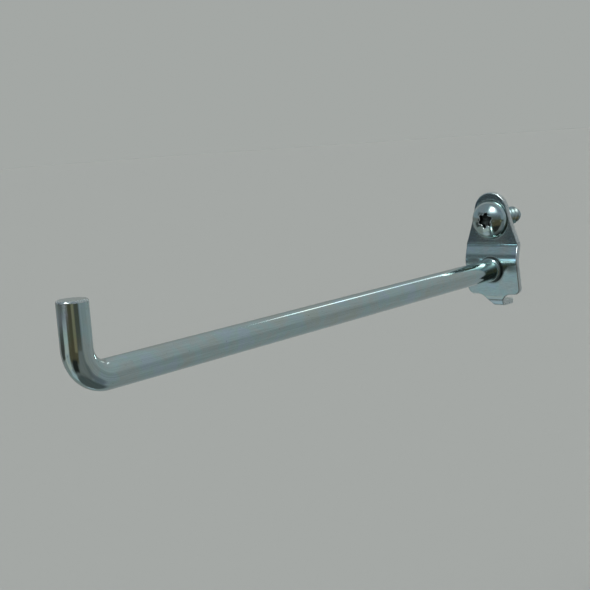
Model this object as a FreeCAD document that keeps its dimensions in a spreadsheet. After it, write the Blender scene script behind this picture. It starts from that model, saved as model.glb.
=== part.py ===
import FreeCAD, Part
import math
import os
import Sketcher

# Pegboard hook: a stamped plate, a round arm riveted into it and the screw that fixes it.
# Frame: the origin is where the screw's axis meets the face of the board, Z is up and
# the arm points along -Y. The board's face is the plane Y = 0. Sizes are in millimetres.

doc = FreeCAD.newDocument("pegboard_hook")

# Driving dimensions
SIZES = (
    ("plate_thickness", 1.6, "steel sheet of the mounting plate"),
    ("plate_width", 17.5, "lower half of the plate, side to side"),
    ("top_radius", 5.5, "round top of the plate"),
    ("top_centre_rise", 2.65, "centre of the round top above the screw"),
    ("flare_radius", 80, "hollow curve of the flared sides below the round top"),
    ("fold_drop", 7.3, "fold below the screw, where the sides reach full width"),
    ("fold_radius", 4, "bend at the fold, at mid sheet"),
    ("step_angle", 20, "degrees that the step leans out from the board"),
    ("crest_radius", 8.8, "broad bend over the crest, at mid sheet"),
    ("lower_angle", 8, "degrees that the lower face leans back to the board"),
    ("bottom_drop", 22.7, "bottom edge of the plate below the screw"),
    ("corner_radius", 2, "bottom corners of the plate"),
    ("hole_pitch", 25.4, "spacing of the holes in the board"),
    ("tongue_width", 3.6, "tongue that enters the next hole down"),
    ("tongue_hollow", 4, "hollow curve from the bottom edge into the tongue"),
    ("tongue_angle", 48, "degrees that the tongue leans back below the plate"),
    ("tongue_root_radius", 2.2, "bend at the root of the tongue, at mid sheet"),
    ("tongue_bend_radius", 2, "bend that levels the tongue, at mid sheet"),
    ("tongue_sag", 0.5, "level part of the tongue below the middle of the board's hole"),
    ("tongue_reach", 7.5, "end of the tongue behind the face of the board"),
    ("tongue_tip_radius", 1.1, "round corners at the end of the tongue"),
    ("root_gap", 0.3, "start of the tongue's root bend below the bottom edge"),
    ("arm_diameter", 6.35, "round steel rod of the arm"),
    ("arm_drop", 15.1, "axis of the arm below the screw"),
    ("arm_reach", 162.6, "axis of the upturned end, out from the board"),
    ("bend_radius", 6.5, "bend of the arm, on its axis"),
    ("leg_rise", 15.9, "top of the upturned end above the arm's axis"),
    ("tip_round", 0.5, "rounded edge of the upturned end"),
    ("bead_diameter", 7.4, "bead upset on the arm against the plate"),
    ("bead_reach", 4.2, "front of the bead, out from the board"),
    ("neck_diameter", 5, "neck of the arm through the plate"),
    ("rivet_diameter", 6.8, "riveted head behind the plate"),
    ("rivet_clearance", 0.25, "gap between the riveted head and the board"),
    ("rivet_round", 0.4, "rounded rim of the riveted head"),
    ("screw_hole", 6, "hole in the plate for the screw"),
    ("head_diameter", 11.2, "head of the screw"),
    ("head_height", 3.7, "crown of the screw's head above the plate"),
    ("head_shoulder", 2.4, "rounding from the dome down to the rim"),
    ("head_rim", 0.4, "straight rim of the screw's head, above the plate"),
    ("screw_neck", 4.6, "plain neck of the screw through the plate"),
    ("thread_diameter", 5.5, "outside of the screw's thread, which starts at the board"),
    ("screw_length", 19, "under the head to the point"),
    ("point_length", 5, "tapered point of the screw"),
    ("point_diameter", 0.6, "blunt end of the point"),
    ("recess_core", 3.3, "middle of the six-lobed recess"),
    ("recess_lobe", 1.2, "diameter of one lobe of the recess"),
    ("recess_across", 4.6, "across two opposite lobes"),
    ("recess_depth", 2.3, "recess below the crown"),
    ("recess_turn", 21, "degrees that the recess is turned"),
)

sheet = doc.addObject("Spreadsheet::Sheet", "Sizes")
for row, (alias, value, meaning) in enumerate(SIZES, start=1):
    sheet.set("A%d" % row, alias)
    sheet.set("B%d" % row, "%g" % value)
    sheet.setAlias("B%d" % row, alias)
    sheet.set("C%d" % row, meaning)
doc.recompute()

# Numbers that the sketcher gives to the points of a shape and to its own axes
START, END, CENTRE = 1, 2, 3
H_AXIS, V_AXIS = -1, -2
ORIGIN = (H_AXIS, START)

# Points closer than this are taken as one
SAME = 1e-4


def size(alias):
    """Value of one driving dimension."""
    return float(sheet.get(alias))


def new_body(name):
    """An empty body that has its own origin planes."""
    return doc.addObject("PartDesign::Body", name)


def origin_plane(body, role):
    """One of the body's own origin planes or axes, found by its role."""
    return next(item for item in body.Origin.OriginFeatures if item.Role == role)


def new_sketch(body, role, name, offset=None):
    """A sketch on an origin plane, moved along its normal by the expression offset."""
    sketch = body.newObject("Sketcher::SketchObject", name)
    sketch.AttachmentSupport = [(origin_plane(body, role), "")]
    sketch.MapMode = "FlatFace"
    if offset:
        sketch.setExpression("AttachmentOffset.Base.z", offset)
    return sketch


def point(across, up):
    """A point of a sketch."""
    return FreeCAD.Vector(across, up, 0)


def line(sketch, first, second):
    """Adds a line and returns its number."""
    return sketch.addGeometry(Part.LineSegment(point(*first), point(*second)), False)


def arc(sketch, centre, radius, first, last):
    """Adds an arc that runs anticlockwise between two angles in radians."""
    circle = Part.Circle(point(*centre), FreeCAD.Vector(0, 0, 1), radius)
    return sketch.addGeometry(Part.ArcOfCircle(circle, first, last), False)


def tie(sketch, kind, *parts):
    """Adds a constraint that has no size."""
    return sketch.addConstraint(Sketcher.Constraint(kind, *parts))


def drawn_size(sketch, kind, parts):
    """Size that a constraint has in the sketch as it is drawn."""
    if kind in ("Radius", "Diameter"):
        return sketch.Geometry[parts[0]].Radius * (2 if kind == "Diameter" else 1)
    if kind == "Angle":
        run = sketch.Geometry[parts[0]].EndPoint - sketch.Geometry[parts[0]].StartPoint
        return math.atan2(run.y, run.x)
    if kind == "Distance":
        spot = sketch.getPoint(parts[0], parts[1])
        return spot.distanceToLine(sketch.getPoint(parts[2], START), line_direction(sketch, parts[2]))
    gap = sketch.getPoint(parts[2], parts[3]) - sketch.getPoint(parts[0], parts[1])
    return gap.x if kind == "DistanceX" else gap.y


def line_direction(sketch, number):
    """Vector along a line of a sketch."""
    return sketch.getPoint(number, END) - sketch.getPoint(number, START)


def drive(sketch, kind, *parts, by):
    """Adds a constraint at the size that is drawn, then lets an expression drive it."""
    drawn = drawn_size(sketch, kind, parts)
    number = sketch.addConstraint(Sketcher.Constraint(kind, *parts, drawn))
    sketch.setExpression("Constraints[%d]" % number, by)


def rounded_path(sketch, corners, radii):
    """Straight runs joined by tangent arcs. Returns the numbers of the runs and the arcs."""
    vectors = [point(*corner) for corner in corners]
    runs = []
    arcs = []
    run_start = vectors[0]
    joint = None
    for before, corner, after, radius in zip(vectors, vectors[1:], vectors[2:], radii):
        inward = (corner - before).normalize()
        outward = (after - corner).normalize()
        turn = inward.getAngle(outward)
        trim = radius * math.tan(turn / 2)
        run_end = corner - inward * trim
        left = inward.cross(outward).z > 0
        side = point(-inward.y, inward.x) if left else point(inward.y, -inward.x)
        centre = run_end + side * radius
        entry = math.atan2(-side.y, -side.x)
        angles = (entry, entry + turn) if left else (entry - turn, entry)
        run = line(sketch, (run_start.x, run_start.y), (run_end.x, run_end.y))
        bend = arc(sketch, (centre.x, centre.y), radius, *angles)
        if joint:
            tie(sketch, "Tangent", joint[0], joint[1], run, START)
        tie(sketch, "Tangent", run, END, bend, START if left else END)
        runs.append(run)
        arcs.append(bend)
        joint = (bend, END if left else START)
        run_start = corner + outward * trim
    last = line(sketch, (run_start.x, run_start.y), (vectors[-1].x, vectors[-1].y))
    tie(sketch, "Tangent", joint[0], joint[1], last, START)
    runs.append(last)
    return runs, arcs


def edges_where(shape, test):
    """Names of the edges of a shape that pass a test."""
    return ["Edge%d" % (i + 1) for i, edge in enumerate(shape.Edges) if test(edge)]


# Mounting plate: one stamped and folded sheet

def fold_corners():
    """Corners of the sheet's middle line, seen from the side as (Y, Z)."""
    half = size("plate_thickness") / 2
    step = math.radians(size("step_angle"))
    lower = math.radians(size("lower_angle"))
    tongue = math.radians(size("tongue_angle"))
    top = size("top_centre_rise") + size("top_radius")
    fold = -size("fold_drop") - size("fold_radius") * math.tan(step / 2)
    foot_y = -half * math.cos(lower)
    foot_z = -size("bottom_drop") - half * math.sin(lower)
    rise = fold - foot_z - (-half - foot_y) / math.tan(lower)
    crest_z = fold - rise * math.tan(lower) / (math.tan(lower) + math.tan(step))
    crest_y = -half - (fold - crest_z) * math.tan(step)
    turn = (tongue - lower) / 2
    root_z = -size("bottom_drop") - size("root_gap")
    root_z -= size("tongue_root_radius") * math.tan(turn) * math.cos(lower)
    root_y = foot_y + (foot_z - root_z) * math.tan(lower)
    level_z = -size("hole_pitch") - size("tongue_sag")
    level_y = root_y + (root_z - level_z) * math.tan(tongue)
    return (
        (-half, top),
        (-half, fold),
        (crest_y, crest_z),
        (root_y, root_z),
        (level_y, level_z),
        (size("tongue_reach"), level_z),
    )


def fold_path(body):
    """Side view of the sheet's middle line: flat, step, crest, lower face and tongue."""
    sketch = new_sketch(body, "YZ_Plane", "FoldPath")
    aliases = ("fold_radius", "crest_radius", "tongue_root_radius", "tongue_bend_radius")
    runs, bends = rounded_path(sketch, fold_corners(), [size(alias) for alias in aliases])
    flat, step, lower, tongue, level = runs
    for bend, alias in zip(bends, aliases):
        drive(sketch, "Radius", bend, by="Sizes." + alias)
    tie(sketch, "Vertical", flat)
    tie(sketch, "Horizontal", level)
    drive(sketch, "DistanceX", flat, START, *ORIGIN, by="Sizes.plate_thickness / 2")
    drive(sketch, "DistanceY", *ORIGIN, flat, START, by="Sizes.top_centre_rise + Sizes.top_radius")
    drive(sketch, "DistanceY", flat, END, *ORIGIN, by="Sizes.fold_drop")
    drive(sketch, "Angle", step, by="-(90 deg + Sizes.step_angle * 1 deg)")
    drive(sketch, "Angle", lower, by="-(90 deg - Sizes.lower_angle * 1 deg)")
    drive(sketch, "Angle", tongue, by="-(90 deg - Sizes.tongue_angle * 1 deg)")
    foot = sketch.addGeometry(Part.Point(point(0, -size("bottom_drop"))), True)
    tie(sketch, "PointOnObject", foot, START, V_AXIS)
    drive(sketch, "DistanceY", foot, START, *ORIGIN, by="Sizes.bottom_drop")
    drive(sketch, "Distance", foot, START, lower, by="Sizes.plate_thickness / 2")
    drive(sketch, "DistanceY", lower, END, *ORIGIN, by="Sizes.bottom_drop + Sizes.root_gap")
    drive(sketch, "DistanceY", level, END, *ORIGIN, by="Sizes.hole_pitch + Sizes.tongue_sag")
    drive(sketch, "DistanceX", *ORIGIN, level, END, by="Sizes.tongue_reach")
    return sketch


def strip_section(body):
    """Cross-section of the sheet at its top end."""
    sketch = new_sketch(body, "XY_Plane", "StripSection", "Sizes.top_centre_rise + Sizes.top_radius")
    wide = size("plate_width") / 2
    thick = size("plate_thickness")
    corners = ((-wide, -thick), (wide, -thick), (wide, 0), (-wide, 0))
    sides = [line(sketch, a, b) for a, b in zip(corners, corners[1:] + corners[:1])]
    for a, b in zip(sides, sides[1:] + sides[:1]):
        tie(sketch, "Coincident", a, END, b, START)
    tie(sketch, "Horizontal", sides[0])
    tie(sketch, "Vertical", sides[1])
    tie(sketch, "Vertical", sides[3])
    tie(sketch, "PointOnObject", sides[2], START, H_AXIS)
    tie(sketch, "Symmetric", sides[2], START, sides[2], END, *ORIGIN)
    drive(sketch, "DistanceX", sides[0], START, sides[0], END, by="Sizes.plate_width")
    drive(sketch, "DistanceY", sides[1], START, sides[1], END, by="Sizes.plate_thickness")
    return sketch


def outline_waste(body):
    """What the blanking die removes on one side, seen from the front as (X, Z)."""
    sketch = new_sketch(body, "XZ_Plane", "OutlineWaste")
    radius = size("top_radius")
    centre = size("top_centre_rise")
    wide = size("plate_width") / 2
    fold = -size("fold_drop")
    bottom = -size("bottom_drop")
    corner = size("corner_radius")
    narrow = size("tongue_width") / 2
    hollow = size("tongue_hollow")
    low = -size("hole_pitch") - size("tongue_sag") - 2 * size("plate_thickness")
    far = 2 * wide
    high = 2 * (centre + radius)
    flare = size("flare_radius")
    reach = radius + flare
    chord = math.hypot(wide, fold - centre)
    between = math.acos((reach ** 2 + chord ** 2 - flare ** 2) / (2 * reach * chord))
    lean = math.atan2(fold - centre, wide) + between
    hub = point(0, centre) + point(math.cos(lean), math.sin(lean)) * reach
    last = math.atan2(fold - hub.y, wide - hub.x)

    top = arc(sketch, (0, centre), radius, lean, math.pi / 2)
    side = arc(sketch, (hub.x, hub.y), flare, math.pi + lean, last % (2 * math.pi))
    corners = ((wide, fold), (wide, bottom), (narrow, bottom), (narrow, low))
    (edge, foot, tongue), (round_corner, root) = rounded_path(sketch, corners, (corner, hollow))
    outer = ((narrow, low), (far, low), (far, high), (0, high), (0, centre + radius))
    under, right, over, left = [line(sketch, a, b) for a, b in zip(outer, outer[1:])]

    tie(sketch, "PointOnObject", top, CENTRE, V_AXIS)
    tie(sketch, "PointOnObject", top, END, V_AXIS)
    drive(sketch, "DistanceY", *ORIGIN, top, CENTRE, by="Sizes.top_centre_rise")
    drive(sketch, "Radius", top, by="Sizes.top_radius")
    drive(sketch, "Radius", side, by="Sizes.flare_radius")
    tie(sketch, "Tangent", top, START, side, START)
    tie(sketch, "Coincident", side, END, edge, START)
    tie(sketch, "Vertical", edge)
    drive(sketch, "DistanceX", *ORIGIN, edge, START, by="Sizes.plate_width / 2")
    drive(sketch, "DistanceY", edge, START, *ORIGIN, by="Sizes.fold_drop")
    tie(sketch, "Horizontal", foot)
    drive(sketch, "DistanceY", foot, START, *ORIGIN, by="Sizes.bottom_drop")
    drive(sketch, "Radius", round_corner, by="Sizes.corner_radius")
    drive(sketch, "Radius", root, by="Sizes.tongue_hollow")
    tie(sketch, "Vertical", tongue)
    drive(sketch, "DistanceX", *ORIGIN, tongue, START, by="Sizes.tongue_width / 2")
    deep = "Sizes.hole_pitch + Sizes.tongue_sag + 2 * Sizes.plate_thickness"
    drive(sketch, "DistanceY", tongue, END, *ORIGIN, by=deep)
    for a, b in ((tongue, under), (under, right), (right, over), (over, left)):
        tie(sketch, "Coincident", a, END, b, START)
    tie(sketch, "Coincident", left, END, top, END)
    tie(sketch, "PointOnObject", left, START, V_AXIS)
    tie(sketch, "Horizontal", under)
    tie(sketch, "Vertical", right)
    tie(sketch, "Horizontal", over)
    drive(sketch, "DistanceX", *ORIGIN, right, START, by="Sizes.plate_width")
    high_rule = "2 * (Sizes.top_centre_rise + Sizes.top_radius)"
    drive(sketch, "DistanceY", *ORIGIN, right, END, by=high_rule)
    return sketch


def round_hole(body, name, diameter, drop=None):
    """A round hole straight through the plate, on its centre line."""
    sketch = new_sketch(body, "XZ_Plane", name + "Sketch")
    height = -size(drop) if drop else 0
    circle = Part.Circle(point(0, height), FreeCAD.Vector(0, 0, 1), size(diameter) / 2)
    rim = sketch.addGeometry(circle, False)
    drive(sketch, "Diameter", rim, by="Sizes." + diameter)
    if drop:
        tie(sketch, "PointOnObject", rim, CENTRE, V_AXIS)
        drive(sketch, "DistanceY", rim, CENTRE, *ORIGIN, by="Sizes." + drop)
    else:
        tie(sketch, "Coincident", rim, CENTRE, *ORIGIN)
    hole = body.newObject("PartDesign::Pocket", name)
    hole.Profile = sketch
    hole.Type = "ThroughAll"
    hole.Midplane = True
    return hole


def make_plate():
    """The plate: a folded strip, blanked to its outline and pierced twice."""
    body = new_body("mounting_plate")
    strip = body.newObject("PartDesign::AdditivePipe", "FoldedStrip")
    strip.Profile = strip_section(body)
    strip.Spine = fold_path(body)
    doc.recompute()

    trim = body.newObject("PartDesign::Pocket", "OutlineTrim")
    trim.Profile = outline_waste(body)
    trim.Type = "ThroughAll"
    trim.Midplane = True
    both = body.newObject("PartDesign::Mirrored", "OutlineBothSides")
    both.Originals = [trim]
    both.MirrorPlane = (origin_plane(body, "YZ_Plane"), [""])
    body.Tip = both
    doc.recompute()

    round_hole(body, "ScrewHole", "screw_hole")
    arm_hole = round_hole(body, "ArmHole", "neck_diameter", "arm_drop")
    doc.recompute()

    reach = size("tongue_reach")
    tip_edges = edges_where(arm_hole.Shape, lambda edge: is_tongue_corner(edge, reach))
    tip = body.newObject("PartDesign::Fillet", "TongueTip")
    tip.Base = (arm_hole, tip_edges)
    tip.setExpression("Radius", "Sizes.tongue_tip_radius")
    doc.recompute()
    return body


def is_tongue_corner(edge, reach):
    """True for the two upright edges at the very end of the tongue."""
    box = edge.BoundBox
    upright = box.ZLength > box.XLength + box.YLength
    return upright and abs(box.YMin - reach) < SAME and abs(box.YMax - reach) < SAME


# Arm: one rod with an upturned end, a bead against the plate and a riveted head behind it

SEAT = (
    "(Sizes.plate_thickness / 2) / cos(Sizes.lower_angle * 1 deg)"
    " + (Sizes.bottom_drop - Sizes.arm_drop) * tan(Sizes.lower_angle * 1 deg)"
)


def seat_depth():
    """Middle of the sheet at the arm's axis, out from the board."""
    lean = math.radians(size("lower_angle"))
    run = size("bottom_drop") - size("arm_drop")
    return size("plate_thickness") / 2 / math.cos(lean) + run * math.tan(lean)


def arm_path(body):
    """Axis of the rod: straight out from the plate, then up."""
    sketch = new_sketch(body, "YZ_Plane", "ArmPath")
    reach = size("arm_reach")
    corners = ((-seat_depth(), 0), (-reach, 0), (-reach, size("leg_rise")))
    (arm, leg), (bend,) = rounded_path(sketch, corners, (size("bend_radius"),))
    tie(sketch, "PointOnObject", arm, START, H_AXIS)
    tie(sketch, "Horizontal", arm)
    tie(sketch, "Vertical", leg)
    drive(sketch, "DistanceX", arm, START, *ORIGIN, by=SEAT)
    drive(sketch, "DistanceX", leg, START, *ORIGIN, by="Sizes.arm_reach")
    drive(sketch, "Radius", bend, by="Sizes.bend_radius")
    drive(sketch, "DistanceY", *ORIGIN, leg, END, by="Sizes.leg_rise")
    return sketch


def arm_section(body):
    """Round section of the rod at the plate."""
    sketch = new_sketch(body, "XZ_Plane", "ArmSection", SEAT)
    circle = Part.Circle(point(0, 0), FreeCAD.Vector(0, 0, 1), size("arm_diameter") / 2)
    rim = sketch.addGeometry(circle, False)
    tie(sketch, "Coincident", rim, CENTRE, *ORIGIN)
    drive(sketch, "Diameter", rim, by="Sizes.arm_diameter")
    return sketch


def upset_profile(body):
    """Half section of the bead, the neck and the riveted head, before the plate shapes them."""
    sketch = new_sketch(body, "YZ_Plane", "UpsetProfile")
    rod = size("arm_diameter") / 2
    bead = size("bead_diameter") / 2
    head = size("rivet_diameter") / 2
    soft = size("rivet_round")
    back = -size("rivet_clearance")
    seat = -seat_depth()
    front = -size("bead_reach")
    fall = bead - rod

    axis = line(sketch, (front, 0), (back, 0))
    face = line(sketch, (back, 0), (back, head - soft))
    rim = arc(sketch, (back - soft, head - soft), soft, 0, math.pi / 2)
    head_side = line(sketch, (back - soft, head), (seat, head))
    ledge = line(sketch, (seat, head), (seat, bead))
    bead_side = line(sketch, (seat, bead), (front + fall, bead))
    shoulder = arc(sketch, (front + fall, rod), fall, math.pi / 2, math.pi)
    end = line(sketch, (front, rod), (front, 0))

    tie(sketch, "PointOnObject", axis, START, H_AXIS)
    tie(sketch, "PointOnObject", axis, END, H_AXIS)
    tie(sketch, "Coincident", axis, END, face, START)
    tie(sketch, "Vertical", face)
    tie(sketch, "Tangent", face, END, rim, START)
    tie(sketch, "Tangent", rim, END, head_side, START)
    tie(sketch, "Horizontal", head_side)
    tie(sketch, "Coincident", head_side, END, ledge, START)
    tie(sketch, "Vertical", ledge)
    tie(sketch, "Coincident", ledge, END, bead_side, START)
    tie(sketch, "Horizontal", bead_side)
    tie(sketch, "Tangent", bead_side, END, shoulder, START)
    tie(sketch, "Tangent", shoulder, END, end, START)
    tie(sketch, "Coincident", end, END, axis, START)
    tie(sketch, "Vertical", end)
    drive(sketch, "DistanceX", axis, END, *ORIGIN, by="Sizes.rivet_clearance")
    drive(sketch, "DistanceX", axis, START, *ORIGIN, by="Sizes.bead_reach")
    drive(sketch, "DistanceX", ledge, START, *ORIGIN, by=SEAT)
    drive(sketch, "Radius", rim, by="Sizes.rivet_round")
    drive(sketch, "DistanceY", *ORIGIN, head_side, END, by="Sizes.rivet_diameter / 2")
    drive(sketch, "DistanceY", *ORIGIN, bead_side, START, by="Sizes.bead_diameter / 2")
    drive(sketch, "DistanceY", *ORIGIN, end, START, by="Sizes.arm_diameter / 2")
    return sketch


def make_arm(plate):
    """The arm. The plate trims it, because the bead and the rivet are pressed against it."""
    body = new_body("ArmBlank")
    rod = body.newObject("PartDesign::AdditivePipe", "BentRod")
    rod.Profile = arm_section(body)
    rod.Spine = arm_path(body)
    doc.recompute()

    top = size("leg_rise")
    tip_edges = edges_where(rod.Shape, lambda edge: edge.BoundBox.ZMin > top - SAME)
    tip = body.newObject("PartDesign::Fillet", "RoundTip")
    tip.Base = (rod, tip_edges)
    tip.setExpression("Radius", "Sizes.tip_round")
    doc.recompute()

    profile = upset_profile(body)
    upset = body.newObject("PartDesign::Revolution", "BeadAndRivet")
    upset.Profile = profile
    upset.ReferenceAxis = (profile, ["H_Axis"])
    upset.Angle = 360
    body.setExpression("Placement.Base.z", "-Sizes.arm_drop")
    doc.recompute()

    arm = doc.addObject("Part::Cut", "hook_arm")
    arm.Base = body
    arm.Tool = plate
    return arm


# Screw: pan head with a six-lobed recess, straight thread envelope and tapered point

def screw_profile(body):
    """Half section of the screw about its axis."""
    sketch = new_sketch(body, "YZ_Plane", "ScrewProfile")
    seat = -size("plate_thickness")
    crown = seat - size("head_height")
    soft = size("head_shoulder")
    head = size("head_diameter") / 2
    soft_hub = seat - size("head_rim")
    deep = soft_hub - crown
    dome = (deep ** 2 + (head - soft) ** 2 - soft ** 2) / (2 * (deep - soft))
    neck = size("screw_neck") / 2
    thread = size("thread_diameter") / 2
    blunt = size("point_diameter") / 2
    tip = seat + size("screw_length")
    taper = tip - size("point_length")
    hub = crown + dome
    split = math.atan2(head - soft, soft_hub - hub)

    top = arc(sketch, (hub, 0), dome, split, math.pi)
    shoulder = arc(sketch, (soft_hub, head - soft), soft, math.pi / 2, split)
    outline = (
        (soft_hub, head),
        (seat, head),
        (seat, neck),
        (0, neck),
        (0, thread),
        (taper, thread),
        (tip, blunt),
        (tip, 0),
        (crown, 0),
    )
    lines = [line(sketch, a, b) for a, b in zip(outline, outline[1:])]
    rim, under, shank, runout, screwed, cone, end, axis = lines

    tie(sketch, "PointOnObject", top, CENTRE, H_AXIS)
    tie(sketch, "Tangent", top, START, shoulder, END)
    tie(sketch, "Tangent", shoulder, START, rim, START)
    tie(sketch, "Horizontal", rim)
    for a, b in zip(lines, lines[1:]):
        tie(sketch, "Coincident", a, END, b, START)
    tie(sketch, "Coincident", axis, END, top, END)
    tie(sketch, "Vertical", under)
    tie(sketch, "Horizontal", shank)
    tie(sketch, "PointOnObject", shank, END, V_AXIS)
    tie(sketch, "Vertical", runout)
    tie(sketch, "Horizontal", screwed)
    tie(sketch, "Vertical", end)
    tie(sketch, "PointOnObject", axis, START, H_AXIS)
    tie(sketch, "PointOnObject", axis, END, H_AXIS)
    seat_rule = "Sizes.plate_thickness"
    drive(sketch, "DistanceX", under, START, *ORIGIN, by=seat_rule)
    drive(sketch, "DistanceX", axis, END, *ORIGIN, by=seat_rule + " + Sizes.head_height")
    drive(sketch, "Radius", shoulder, by="Sizes.head_shoulder")
    drive(sketch, "DistanceX", rim, START, rim, END, by="Sizes.head_rim")
    drive(sketch, "DistanceY", *ORIGIN, rim, END, by="Sizes.head_diameter / 2")
    drive(sketch, "DistanceY", *ORIGIN, shank, START, by="Sizes.screw_neck / 2")
    drive(sketch, "DistanceY", *ORIGIN, screwed, START, by="Sizes.thread_diameter / 2")
    drive(sketch, "DistanceX", under, END, axis, START, by="Sizes.screw_length")
    drive(sketch, "DistanceX", cone, START, cone, END, by="Sizes.point_length")
    drive(sketch, "DistanceY", *ORIGIN, end, START, by="Sizes.point_diameter / 2")
    return sketch


def recess_pocket(body, name, sketch):
    """One cut of the drive recess, from the crown inwards."""
    pocket = body.newObject("PartDesign::Pocket", name)
    pocket.Profile = sketch
    pocket.setExpression("Length", "Sizes.recess_depth")
    return pocket


def make_screw():
    """The screw, seated on the front face of the plate."""
    body = new_body("screw")
    profile = screw_profile(body)
    turned = body.newObject("PartDesign::Revolution", "TurnedScrew")
    turned.Profile = profile
    turned.ReferenceAxis = (profile, ["H_Axis"])
    turned.Angle = 360
    doc.recompute()

    crown = "Sizes.plate_thickness + Sizes.head_height"
    core = new_sketch(body, "XZ_Plane", "RecessCoreSketch", crown)
    circle = Part.Circle(point(0, 0), FreeCAD.Vector(0, 0, 1), size("recess_core") / 2)
    rim = core.addGeometry(circle, False)
    tie(core, "Coincident", rim, CENTRE, *ORIGIN)
    drive(core, "Diameter", rim, by="Sizes.recess_core")
    recess_pocket(body, "RecessCore", core)
    doc.recompute()

    lobe = new_sketch(body, "XZ_Plane", "RecessLobeSketch", crown)
    turn = math.radians(size("recess_turn"))
    away = (size("recess_across") - size("recess_lobe")) / 2
    place = (away * math.cos(turn), away * math.sin(turn))
    circle = Part.Circle(point(*place), FreeCAD.Vector(0, 0, 1), size("recess_lobe") / 2)
    rim = lobe.addGeometry(circle, False)
    drive(lobe, "Diameter", rim, by="Sizes.recess_lobe")
    throw = "(Sizes.recess_across - Sizes.recess_lobe) / 2 * "
    drive(lobe, "DistanceX", *ORIGIN, rim, CENTRE, by=throw + "cos(Sizes.recess_turn * 1 deg)")
    drive(lobe, "DistanceY", *ORIGIN, rim, CENTRE, by=throw + "sin(Sizes.recess_turn * 1 deg)")
    first_lobe = recess_pocket(body, "RecessLobe", lobe)
    lobes = body.newObject("PartDesign::PolarPattern", "RecessLobes")
    lobes.Originals = [first_lobe]
    lobes.Axis = (origin_plane(body, "Y_Axis"), [""])
    lobes.Angle = 360
    lobes.Occurrences = 6
    body.Tip = lobes
    return body


plate = make_plate()
arm = make_arm(plate)
screw = make_screw()
doc.recompute()

# Every object has to be sound before anything is written
for item in doc.Objects:
    if "Invalid" in item.State or "Error" in item.State:
        raise RuntimeError("%s failed: %s" % (item.Name, item.State))
    if item.TypeId == "Sketcher::SketchObject" and not item.FullyConstrained:
        raise RuntimeError("%s is not fully constrained" % item.Name)

os.makedirs("parts", exist_ok=True)
for item in (plate, arm, screw):
    shape = item.Shape
    if shape.isNull() or not shape.isValid() or len(shape.Solids) != 1:
        raise RuntimeError("%s has no single sound solid" % item.Label)
    shape.exportStep("parts/%s.step" % item.Label)
    box = shape.BoundBox
    print("%s: %.1f mm3, X %.2f..%.2f Y %.2f..%.2f Z %.2f..%.2f"
          % (item.Label, shape.Volume, box.XMin, box.XMax, box.YMin, box.YMax, box.ZMin, box.ZMax))
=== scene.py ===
import math

import bmesh
import bpy
import numpy as np
from mathutils import Matrix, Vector
from mathutils.geometry import delaunay_2d_cdt


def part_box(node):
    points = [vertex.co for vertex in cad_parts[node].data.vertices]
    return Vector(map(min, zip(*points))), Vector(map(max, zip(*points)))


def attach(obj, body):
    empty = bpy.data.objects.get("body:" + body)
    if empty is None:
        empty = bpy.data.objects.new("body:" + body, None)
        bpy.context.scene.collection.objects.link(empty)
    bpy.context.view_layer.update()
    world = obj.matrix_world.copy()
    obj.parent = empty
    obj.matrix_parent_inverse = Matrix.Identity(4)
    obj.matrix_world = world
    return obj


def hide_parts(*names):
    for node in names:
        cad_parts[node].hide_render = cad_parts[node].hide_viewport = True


# Looks of a zinc plated pegboard hook: a folded plate, a bent rod and a screw.
# Sizes are in millimetres until a mesh is made. The board's face is Y = 0, the rod
# points along -Y and Z is up.

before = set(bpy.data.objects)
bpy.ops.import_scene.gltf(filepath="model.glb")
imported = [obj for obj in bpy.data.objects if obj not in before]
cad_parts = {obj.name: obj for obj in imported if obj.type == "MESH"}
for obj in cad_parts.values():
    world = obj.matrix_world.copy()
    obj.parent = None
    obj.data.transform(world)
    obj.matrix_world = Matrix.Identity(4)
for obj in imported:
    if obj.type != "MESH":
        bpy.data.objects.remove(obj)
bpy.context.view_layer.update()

MM = 0.001
RIGHT_ANGLE = math.pi / 2
FULL_TURN = 2 * math.pi

# Plate
plate_box = [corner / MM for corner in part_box("mounting_plate")]
SHEET = 1.6
PLATE_HALF = plate_box[1].x
PLATE_TOP = plate_box[1].z
TOP_RADIUS = 5.5
TOP_CENTRE = PLATE_TOP - TOP_RADIUS
FLARE_RADIUS = 80
FOLD_DROP = 7.3
FOLD_RADIUS = 4
STEP_ANGLE = math.radians(20)
CREST_RADIUS = 8.8
LOWER_ANGLE = math.radians(8)
BOTTOM_DROP = 22.7
CORNER_RADIUS = 2
TONGUE_HALF = 1.8
TONGUE_HOLLOW = 4
TONGUE_ANGLE = math.radians(48)
TONGUE_ROOT_RADIUS = 2.2
TONGUE_BEND_RADIUS = 2
TONGUE_LEVEL = plate_box[0].z + SHEET / 2
TONGUE_REACH = plate_box[1].y
TONGUE_TIP_RADIUS = 1.1
ROOT_GAP = 0.3
FRONT_ROUND = 0.34
BACK_ROUND = 0.14
HOLE_ROUND = 0.22
# Painted shade round the screw's head and the bead: how far it reaches on the plate, and how dark
# the bead's rim is painted
PAINTED_SHADE_REACH = 0.3
BEAD_PAINTED_SHADE = 0.6

# Arm
ARM_DROP = 15.1
ARM_RADIUS = 3.175
ARM_REACH = -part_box("hook_arm")[0].y / MM - ARM_RADIUS
BEND_RADIUS = 6.5
LEG_RISE = 15.9
TIP_ROUND = 0.5
BEAD_RADIUS = 3.7
BEAD_REACH = 4.2
NECK_RADIUS = 2.5
RIVET_RADIUS = 3.4
RIVET_CLEARANCE = 0.25
RIVET_ROUND = 0.4
RIVET_CROWN = 0.16
RIVET_SQUASH = 0.8
RIVET_FOOT = 0.04
BEAD_EDGE = 0.1

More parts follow.
